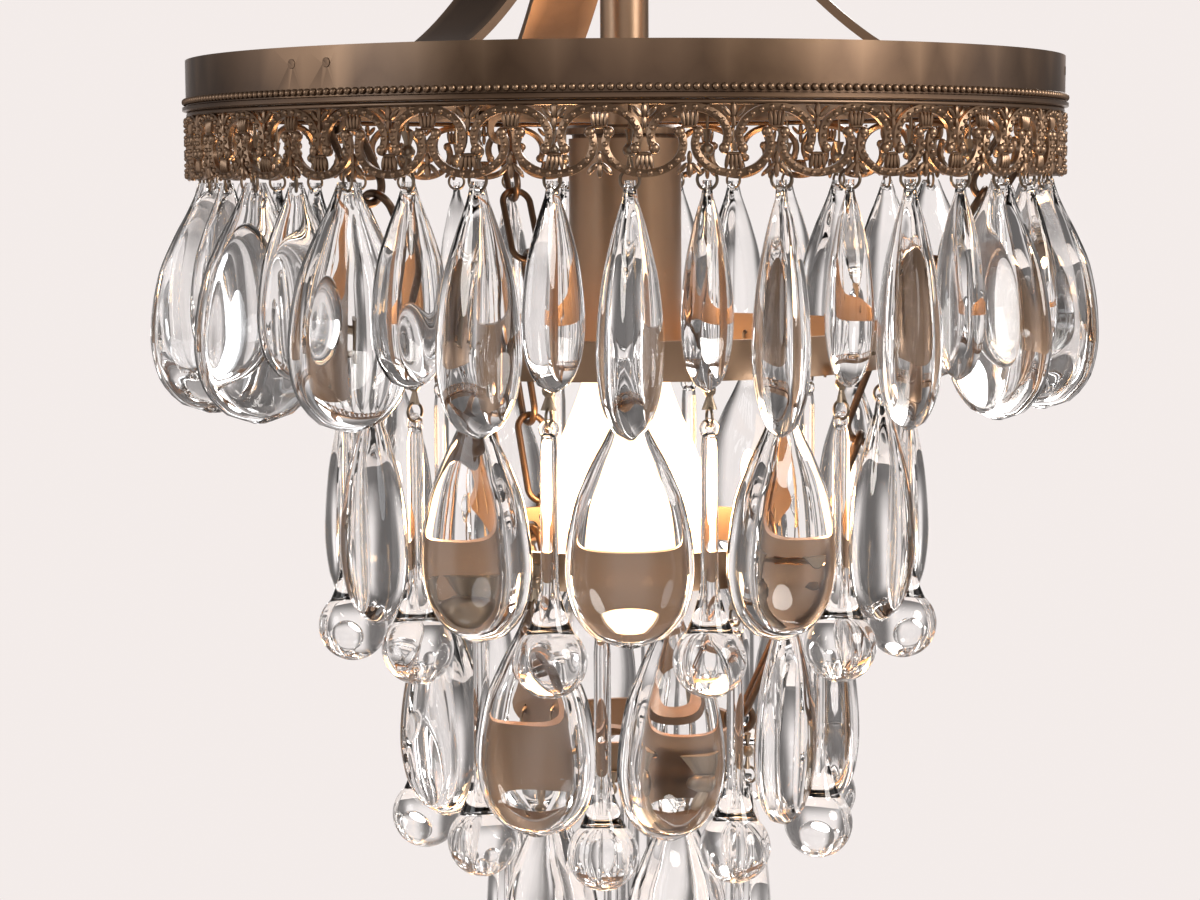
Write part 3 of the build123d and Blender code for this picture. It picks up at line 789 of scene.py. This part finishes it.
@dataclass(frozen=True)
class Clips:
    """Every clip of the chandelier.

    Args:
        clip: the clip that they all are.
        flange: height of the top ring's flange above the band's lower edge.
        wire_rest: height of a bent wire's middle above the flange.
        bar: height of the cross bar's middle.
        bar_drop: from the bar's middle down to its clip.
        bar_reach: length of the wire over the bar.
    """

    clip: Clip = Clip()
    flange: float = 1.6
    wire_rest: float = 0.6
    bar: float = -193.0
    bar_drop: float = 6.0
    bar_reach: float = 7.6

    def build(self, dresser: Dresser) -> None:
        """Put a clip at every drop."""
        side = self.clip.side_master()
        for tier in TIERS:
            clips = copies(f"tier_{tier.number}_clip_metal", side, tier.clip_places())
            dresser.dress(clips, Look.DARK_BRASS, "lamp_frame", f"clips_tier_{tier.number}")
        origin = level(TOP_TIER.top) + EYE_PLAY + LOOP_DROP
        reach = level(BAND_BOTTOM + self.flange) + self.wire_rest - origin
        hanging = self.clip.hanging_master("hanging_clip", reach)
        places = TOP_TIER.places(True, origin) + TOP_TIER.places(False, origin)
        dresser.dress(copies("tier_1_clip_metal", hanging, places), Look.DARK_BRASS, "lamp_frame",
                      "clips_tier_1")
        discard(side, hanging)
        finial = settle(self.clip.hanging_master("finial_clip", self.bar_reach),
                        place(90, 0, level(self.bar) - self.bar_drop))
        dresser.dress(finial, Look.DARK_BRASS, "lamp_frame", "clip_finial")


# ---------------------------------------------------------------- gallery and pearls
@dataclass(frozen=True)
class Gallery:
    """The pierced gallery: beaded horseshoes, open above and below by turns, with palmettes and cups.

    Args:
        repeats: horseshoes of each kind round the band.
        phase: degrees that the pattern is turned.
        middle: height of the pattern's middle.
        half_width: half width of a horseshoe, at the middle of its bar.
        half_height: half height of the ellipse that it is a part of.
        lift: from the pattern's middle to the ellipse's.
        end: degrees from a horseshoe's bow to its ends.
        bar: radius of its bar.
        rail: radius of the rail above.
        inset: from the band's face in to the middle of the bars.
    """

    repeats: int = 36
    phase: float = 1.6
    middle: float = 12.4
    half_width: float = 11.3
    half_height: float = 8.4
    lift: float = 1.2
    end: float = 115
    bar: float = 1.35
    rail: float = 0.9
    inset: float = 1.0

    def bead(self, centre: tuple, radius: float, outwards: float) -> bpy.types.Object:
        """A small bead at (y, z) millimetres, its middle some way outwards of the bar's."""
        bpy.ops.mesh.primitive_uv_sphere_add(
            segments=8, ring_count=5, radius=radius * MM,
            location=(outwards * MM, centre[0] * MM, centre[1] * MM))
        return settle(bpy.context.object)

    def horseshoe(self, up: bool, shift: float) -> list:
        """Model one beaded horseshoe.

        Args:
            up: whether it is open above.
            shift: how far along the strip it stands.

        Returns:
            The bar, its beads and its two knobs.
        """
        sign = 1 if up else -1
        steps = 28
        points = []
        for step in range(steps + 1):
            angle = math.radians(self.end * (2 * step / steps - 1))
            drop = self.lift + self.half_height * math.cos(angle)
            points.append((0, shift + self.half_width * math.sin(angle), self.middle - sign * drop))
        made = [tube("scroll", points, self.bar, 8)]
        made += [self.bead(point[1:], 0.85, 1.15) for point in points[1::2]]
        made += [self.bead(point[1:], 1.7, 0.3) for point in (points[0], points[-1])]
        return made

    def petal(self, y: float, rise: float, tilt: float, wide: float, tall: float) -> bpy.types.Object:
        """Model one long petal.

        Args:
            y: where it stands along the strip.
            rise: its height above the pattern's middle.
            tilt: degrees turned in the plane of the strip.
            wide: half its width.
            tall: half its length.

        Returns:
            The petal.
        """
        deselect()
        bpy.ops.mesh.primitive_uv_sphere_add(
            segments=8, ring_count=6, radius=1.0, location=Vector((0.4, y, self.middle + rise)) * MM,
            rotation=(math.radians(tilt), 0, 0), scale=(1.1 * MM, wide * MM, tall * MM))
        return settle(bpy.context.object)

    def palmette(self, sign: int, shift: float) -> list:
        """The leaves over a horseshoe's opening; sign is 1 where it is open above."""
        leaves = [self.petal(shift, sign * 8.6, 0, 0.95, 2.4), self.petal(shift, sign * 5.2, 0, 0.8, 2.2)]
        leaves += [self.petal(shift + side * 2.1, sign * 8.2, -side * sign * 42, 0.85, 2.3)
                   for side in (-1, 1)]
        return leaves

    def cup(self, sign: int, shift: float) -> list:
        """The ribbed cup that stands in a horseshoe's bow."""
        ribs = [self.petal(shift + rib * 1.25, -sign * 6.1, rib * sign * 6, 0.72, 2.5)
                for rib in (-1.5, -0.5, 0.5, 1.5)]
        return ribs + [self.petal(shift, -sign * 3.9, 0, 2.5, 0.6)]

    def wrapped(self, obj: bpy.types.Object, radius: float) -> bpy.types.Object:
        """Wrap a flat strip (Y along, X outwards) around the stem at a radius."""
        for vertex in obj.data.vertices:
            angle = vertex.co.y / (radius * MM)
            out = radius * MM + vertex.co.x
            vertex.co = (out * math.cos(angle), out * math.sin(angle), vertex.co.z)
        return obj

    def build(self, dresser: Dresser) -> None:
        """Model one repeat, copy it round the band and add the rail."""
        radius = BAND_RADIUS - self.inset
        half = math.pi * BAND_RADIUS / self.repeats
        pieces = self.horseshoe(True, 0) + self.horseshoe(False, half)
        for sign, shift in ((1, 0), (-1, half)):
            pieces += self.palmette(sign, shift) + self.cup(sign, shift)
        motif = self.wrapped(smooth(join("motif", pieces), 40), radius)
        settle(motif, Matrix.Translation((0, 0, level(0) * MM)))
        turns = [Matrix.Rotation(math.radians(self.phase + 360 * index / self.repeats), 4, "Z")
                 for index in range(self.repeats)]
        lace = copies("gallery_scrolls", motif, turns)
        discard(motif)
        rail = smooth(torus((0, 0, level(BAND_BOTTOM - self.rail)), radius, self.rail, (240, 10)), 80)
        dresser.dress(join("gallery_lace", [lace, rail]), Look.BRONZE, "lamp_frame", "lace_gallery")


@dataclass(frozen=True)
class PearlRow:
    """The row of tiny pearls near the band's lower edge.

    Args:
        count: pearls round the band.
        radius: radius of a pearl.
        proud: distance of their middles out from the band's face.
        lift: height above the band's lower edge.
    """

    count: int = 340
    radius: float = 1.15
    proud: float = 0.25
    lift: float = 3.4

    def build(self, dresser: Dresser) -> None:
        """Model one pearl and copy it round the band."""
        deselect()
        bpy.ops.mesh.primitive_uv_sphere_add(segments=8, ring_count=6, radius=self.radius * MM)
        pearl = smooth(bpy.context.object, 80)
        places = [place(360 * index / self.count, BAND_RADIUS + self.proud, level(BAND_BOTTOM + self.lift))
                  for index in range(self.count)]
        row = copies("pearl_row", pearl, places)
        discard(pearl)
        dresser.dress(row, Look.BRONZE, "lamp_frame", "bead_trim")


# ---------------------------------------------------------------- CAD nodes that stay visible
@dataclass(frozen=True)
class MetalFrame:
    """The CAD nodes that are seen as they are.

    Args:
        eased: nodes whose sharp edges are rounded a little.
        ease: how far, in millimetres.
    """

    eased: tuple = ("top_band", "second_ring", "third_ring", "fourth_ring", "strap_right",
                    "strap_front_left", "strap_back_left", "lamp_cap", "lamp_cup")
    ease: float = 0.25

    def soften(self, obj: bpy.types.Object) -> None:
        """Round a node's sharp edges."""
        bevel = obj.modifiers.new("soft_edges", "BEVEL")
        bevel.width = self.ease * MM
        bevel.segments = 2
        bevel.limit_method = "ANGLE"
        bevel.angle_limit = math.radians(40)
        bevel.harden_normals = True

    def build(self, dresser: Dresser) -> None:
        """Give the remaining nodes their finishes."""
        looks = {item.value: item for item in Look}
        for entry in frame["record"]["subparts"]:
            name = entry["node"]
            if not NODES[name].hide_render:
                dresser.dress_node(name, looks[entry["material_slot"]])
        for name in self.eased:
            self.soften(NODES[name])


# ---------------------------------------------------------------- stage
@dataclass(frozen=True)
class AreaLamp:
    """A soft round lamp that looks at the chandelier.

    Args:
        name: the lamp's name.
        where: its place, in metres.
        size: its width.
        energy: its power.
        color: its colour.
        target: the point it looks at.
    """

    name: str
    where: tuple
    size: float
    energy: float
    color: tuple
    target: tuple = (0, 0, -0.33)

    def build(self) -> None:
        """Add the lamp."""
        data = bpy.data.lights.new(self.name, "AREA")
        data.shape = "DISK"
        data.size, data.energy, data.color = self.size, self.energy, self.color
        lamp = bpy.data.objects.new(self.name, data)
        aim = Vector(self.target) - Vector(self.where)
        lamp.location = self.where
        lamp.rotation_euler = aim.to_track_quat("-Z", "Y").to_euler()
        bpy.context.scene.collection.objects.link(lamp)


@dataclass(frozen=True)
class Surroundings:
    """The studio around the chandelier: even daylight, and pale backdrops between dark screens.

    Args:
        daylight: colour of the light it gives.
        strength: strength of that light.
        backdrop: colour of the backdrops.
        screen: brightness of the dark screens.
        slant: where the corner screens begin and end, as the product of X and Y of the direction.
        steep: where the screens above and below begin and end, as Z of the direction.
    """

    daylight: tuple = (1.0, 0.93, 0.91)
    strength: float = 0.55
    backdrop: tuple = (0.9, 0.84, 0.82)
    screen: float = 0.16
    slant: tuple = (0.24, 0.42)
    steep: tuple = (0.3, 0.62)

    def figure(self, tree: bpy.types.NodeTree, operation: str, *sources: bpy.types.NodeSocket
               ) -> bpy.types.NodeSocket:
        """Add a maths node that works on the sources, and return its result."""
        node = tree.nodes.new("ShaderNodeMath")
        node.operation = operation
        for source, socket in zip(sources, node.inputs):
            tree.links.new(source, socket)
        return node.outputs["Value"]

    def shade(self, tree: bpy.types.NodeTree, source: bpy.types.NodeSocket, edges: tuple
              ) -> bpy.types.NodeSocket:
        """Fall from full brightness to the screens' between two edges, and return the result."""
        node = tree.nodes.new("ShaderNodeMapRange")
        node.interpolation_type = "SMOOTHSTEP"
        node.inputs["From Min"].default_value, node.inputs["From Max"].default_value = edges
        node.inputs["To Min"].default_value = 1.0
        node.inputs["To Max"].default_value = self.screen
        tree.links.new(source, node.inputs["Value"])
        return node.outputs["Result"]

    def screens(self, tree: bpy.types.NodeTree) -> bpy.types.NodeSocket:
        """Brightness by direction: dark in the four corners, above and below."""
        where = tree.nodes.new("ShaderNodeTexCoord")
        split = tree.nodes.new("ShaderNodeSeparateXYZ")
        tree.links.new(where.outputs["Generated"], split.inputs["Vector"])
        across = self.figure(tree, "MULTIPLY", split.outputs["X"], split.outputs["Y"])
        corners = self.shade(tree, self.figure(tree, "ABSOLUTE", across), self.slant)
        caps = self.shade(tree, self.figure(tree, "ABSOLUTE", split.outputs["Z"]), self.steep)
        return self.figure(tree, "MULTIPLY", corners, caps)

    def background(self, tree: bpy.types.NodeTree) -> bpy.types.Node:
        """Add a background in the backdrops' colour."""
        node = tree.nodes.new("ShaderNodeBackground")
        node.inputs["Color"].default_value = (*self.backdrop, 1)
        return node

    def choice(self, tree: bpy.types.NodeTree, switch: bpy.types.NodeSocket, off: bpy.types.Node,
               on: bpy.types.Node) -> bpy.types.Node:
        """Add a mix of two shaders.

        Args:
            tree: the world's nodes.
            switch: 0 for the first shader, 1 for the second.
            off: the first shader's node.
            on: the second shader's node.

        Returns:
            The mix node.
        """
        mix = tree.nodes.new("ShaderNodeMixShader")
        for source, socket in zip((switch, off.outputs[0], on.outputs[0]), mix.inputs):
            tree.links.new(source, socket)
        return mix

    def build(self) -> None:
        """Make the world."""
        world = bpy.data.worlds.new("studio")
        bpy.context.scene.world = world
        world.use_nodes = True
        tree = world.node_tree
        daylight = tree.nodes["Background"]
        daylight.inputs["Color"].default_value = (*self.daylight, 1)
        daylight.inputs["Strength"].default_value = self.strength
        screened = self.background(tree)
        tree.links.new(self.screens(tree), screened.inputs["Strength"])
        rays = tree.nodes.new("ShaderNodeLightPath")
        bent = self.figure(tree, "MAXIMUM", rays.outputs["Is Glossy Ray"],
                           rays.outputs["Is Transmission Ray"])
        indirect = self.choice(tree, bent, daylight, screened)
        whole = self.choice(tree, rays.outputs["Is Camera Ray"], indirect, self.background(tree))
        tree.links.new(whole.outputs[0], tree.nodes["World Output"].inputs["Surface"])


@dataclass(frozen=True)
class Stage:
    """Camera, surroundings, lamps and floor.

    Args:
        eye: where the camera stands, in metres.
        lens: its focal length in millimetres, on a sensor 36 mm wide.
        pitch: degrees that it looks below the horizon.
        roll: degrees that it is turned about its Y axis.
        lamps: the lamps in the studio.
        glow_radius: distance from the stem of the bulb's warm lights, in metres.
        glow_level: their height below the gallery, in millimetres.
        floor_radius: radius of the floor disc.
        floor_z: its height.
    """

    eye: tuple = (-0.0087, -0.9, GALLERY_BOTTOM * MM)
    lens: float = 77.4
    pitch: float = 5.9
    roll: float = 0.3
    lamps: tuple = (
        AreaLamp("key_right", (1.3, -0.9, 0.35), 0.9, 26, (1.0, 0.95, 0.9)),
        AreaLamp("fill_left", (-1.4, -0.8, 0.1), 0.8, 5, (0.95, 0.97, 1.0)),
        AreaLamp("rim_back", (0.5, 1.3, 0.4), 0.8, 12, (1.0, 0.97, 0.95)),
    )
    glow_radius: float = 0.036
    glow_level: float = -105
    floor_radius: float = 0.42
    floor_z: float = -0.76

    def camera(self) -> None:
        """Add the camera."""
        data = bpy.data.cameras.new("camera")
        data.lens, data.sensor_width = self.lens, 36.0
        data.clip_start = 0.01
        camera = bpy.data.objects.new("camera", data)
        camera.location = self.eye
        camera.rotation_euler = (math.radians(90 - self.pitch), math.radians(self.roll), 0)
        bpy.context.scene.collection.objects.link(camera)
        bpy.context.scene.camera = camera

    def bulb_glow(self) -> None:
        """Add the bulb's warm light, as three small lights round it."""
        for azimuth in (60, 180, 300):
            glow = bpy.data.lights.new("glow", "POINT")
            glow.energy, glow.color, glow.shadow_soft_size = 0.55, (1.0, 0.6, 0.3), 0.012
            lamp = bpy.data.objects.new("glow", glow)
            turn = math.radians(azimuth)
            lamp.location = (self.glow_radius * math.sin(turn), -self.glow_radius * math.cos(turn),
                             level(self.glow_level) * MM)
            bpy.context.scene.collection.objects.link(lamp)

    def floor(self) -> None:
        """Add the pale floor."""
        bpy.ops.mesh.primitive_circle_add(
            vertices=96, radius=self.floor_radius, fill_type="NGON", location=(0, 0, self.floor_z))
        floor = settle(bpy.context.object)
        floor.name = "floor"
        material, shader = principled("floor")
        shader.inputs["Base Color"].default_value = (0.82, 0.78, 0.76, 1)
        shader.inputs["Roughness"].default_value = 0.7
        floor.data.materials.append(material)

    def build(self) -> None:
        """Set the stage."""
        bpy.context.scene.view_settings.view_transform = "Standard"
        self.camera()
        Surroundings().build()
        self.bulb_glow()
        for lamp in self.lamps:
            lamp.build()
        self.floor()


def main() -> None:
    """Dress the chandelier and set the stage."""
    dresser = Dresser(make_materials())
    Glassware(dresser).build()
    Clips().build(dresser)
    Gallery().build(dresser)
    PearlRow().build(dresser)
    MetalFrame().build(dresser)
    Stage().build()


if __name__ == "__main__":
    main()
